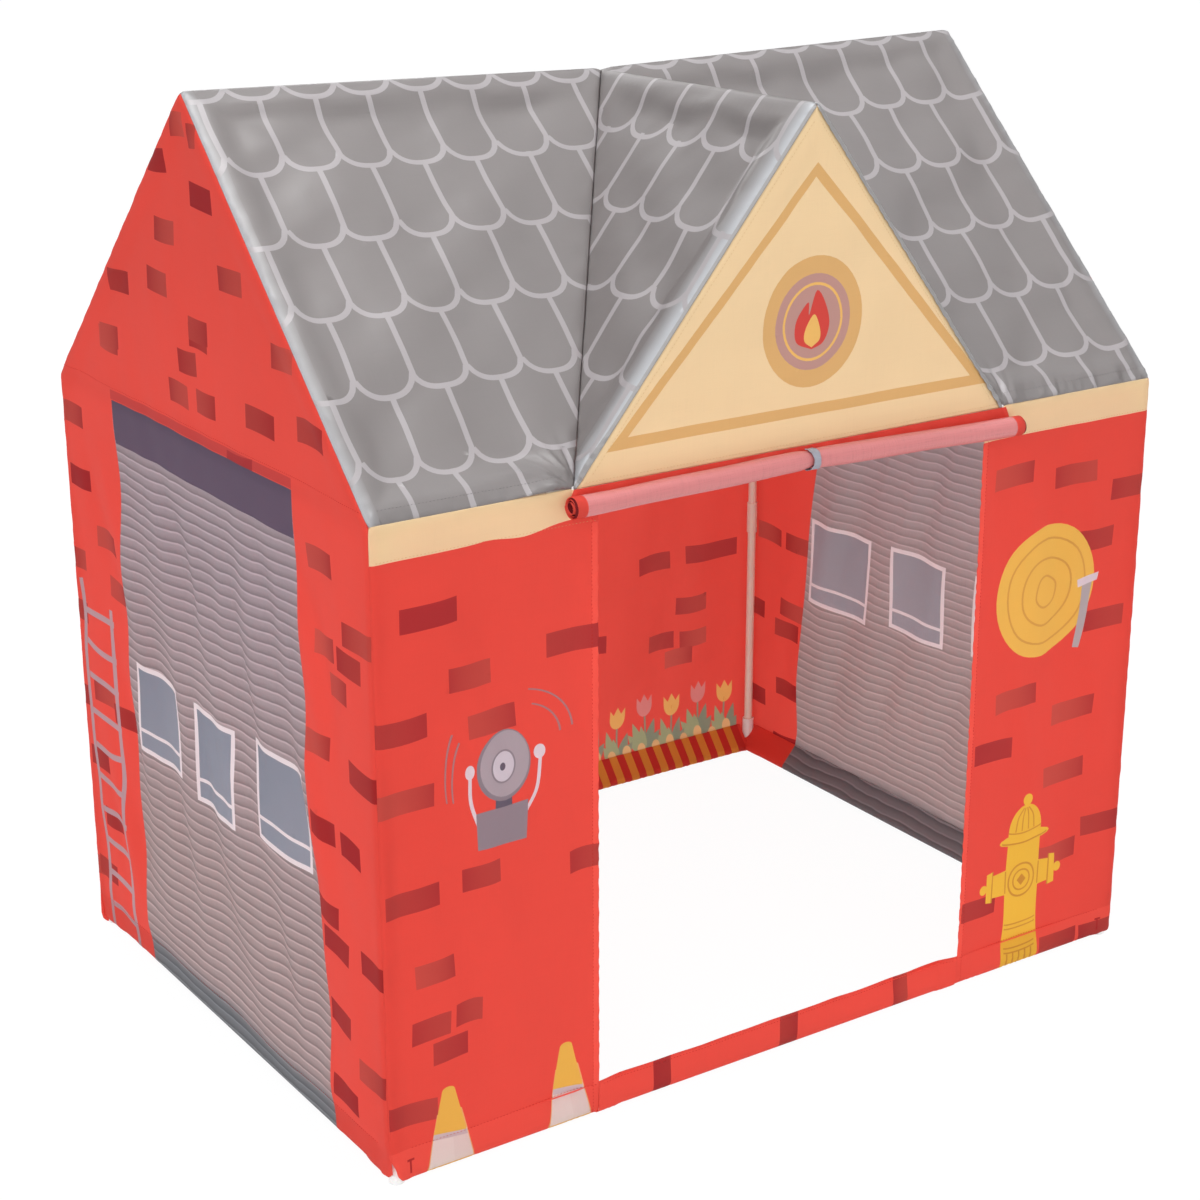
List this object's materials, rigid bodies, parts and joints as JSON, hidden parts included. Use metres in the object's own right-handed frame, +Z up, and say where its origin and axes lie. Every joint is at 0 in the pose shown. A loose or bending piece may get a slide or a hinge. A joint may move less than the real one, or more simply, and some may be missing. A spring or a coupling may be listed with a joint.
{
  "type": "play tent",
  "caption": "Cloth play house on a frame of plastic tubes and socket joints, with a dormer over a front doorway whose door is rolled up and tied.",
  "frame": {"origin": "on the floor, at the centre of the whole tent's box", "axes": "+Z up, -Y out of the front with the doorway, +X to the right of someone who faces the doorway"},
  "size_m": [1.05, 0.7883, 1.1],
  "materials": {
    "red_cloth": "printed satin weave",
    "grey_cloth": "printed satin weave",
    "cream_cloth": "printed satin weave",
    "door_cloth": "plain reverse of the weave",
    "tie_ribbon": "woven ribbon",
    "tube_plastic": "extruded",
    "joint_plastic": "moulded"
  },
  "bodies": {
    "tent": {"apex_joint_left": "joint_plastic", "apex_joint_right": "joint_plastic", "back_wall": "red_cloth", "bottom_rail_back_left": "tube_plastic", "bottom_rail_back_right": "tube_plastic", "bottom_rail_front_left": "tube_plastic", "bottom_rail_front_right": "tube_plastic", "bottom_rail_left": "tube_plastic", "bottom_rail_right": "tube_plastic", "corner_foot_back_left": "joint_plastic", "corner_foot_back_right": "joint_plastic", "corner_foot_front_left": "joint_plastic", "corner_foot_front_right": "joint_plastic", "door_sill": "red_cloth", "dormer_apex_joint": "joint_plastic", "dormer_foot_joint_left": "joint_plastic", "dormer_foot_joint_right": "joint_plastic", "dormer_gable": "cream_cloth", "dormer_rafter_left": "tube_plastic", "dormer_rafter_right": "tube_plastic", "dormer_ridge_tube": "tube_plastic", "dormer_slope_left": "grey_cloth", "dormer_slope_right": "grey_cloth", "eave_joint_back_left": "joint_plastic", "eave_joint_back_right": "joint_plastic", "eave_joint_front_left": "joint_plastic", "eave_joint_front_right": "joint_plastic", "eave_rail_back_left": "tube_plastic", "eave_rail_back_right": "tube_plastic", "eave_rail_front_left": "tube_plastic", "eave_rail_front_middle": "tube_plastic", "eave_rail_front_right": "tube_plastic", "eave_rail_left": "tube_plastic", "eave_rail_right": "tube_plastic", "front_pier_left": "red_cloth", "front_pier_right": "red_cloth", "gable_wall_left": "red_cloth", "gable_wall_right": "red_cloth", "rafter_back_left": "tube_plastic", "rafter_back_right": "tube_plastic", "rafter_front_left": "tube_plastic", "rafter_front_right": "tube_plastic", "ridge_tee": "joint_plastic", "ridge_tube_left": "tube_plastic", "ridge_tube_right": "tube_plastic", "roof_back": "grey_cloth", "roof_front_left": "grey_cloth", "roof_front_right": "grey_cloth", "upright_lower_back_left": "tube_plastic", "upright_lower_back_right": "tube_plastic", "upright_lower_front_left": "tube_plastic", "upright_lower_front_right": "tube_plastic", "upright_upper_back_left": "tube_plastic", "upright_upper_back_right": "tube_plastic", "upright_upper_front_left": "tube_plastic", "upright_upper_front_right": "tube_plastic"},
    "door_flap": {"door_web": "red_cloth", "tie_strap": "tie_ribbon"},
    "door_roll": {"door_roll": "door_cloth"}
  },
  "joints": [
    {"name": "door_swing", "type": "hinge", "parent": "tent", "child": "door_flap", "pos_m": [0, -0.3666, 0.7282], "axis": [-1, 0, 0], "range_deg": [0, 85]},
    {"name": "door_unroll", "type": "slide", "parent": "door_flap", "child": "door_roll", "axis": [0, 0, -1], "range_m": [0, 0.664], "deforming": ["door_web", "tie_strap"]}
  ]
}
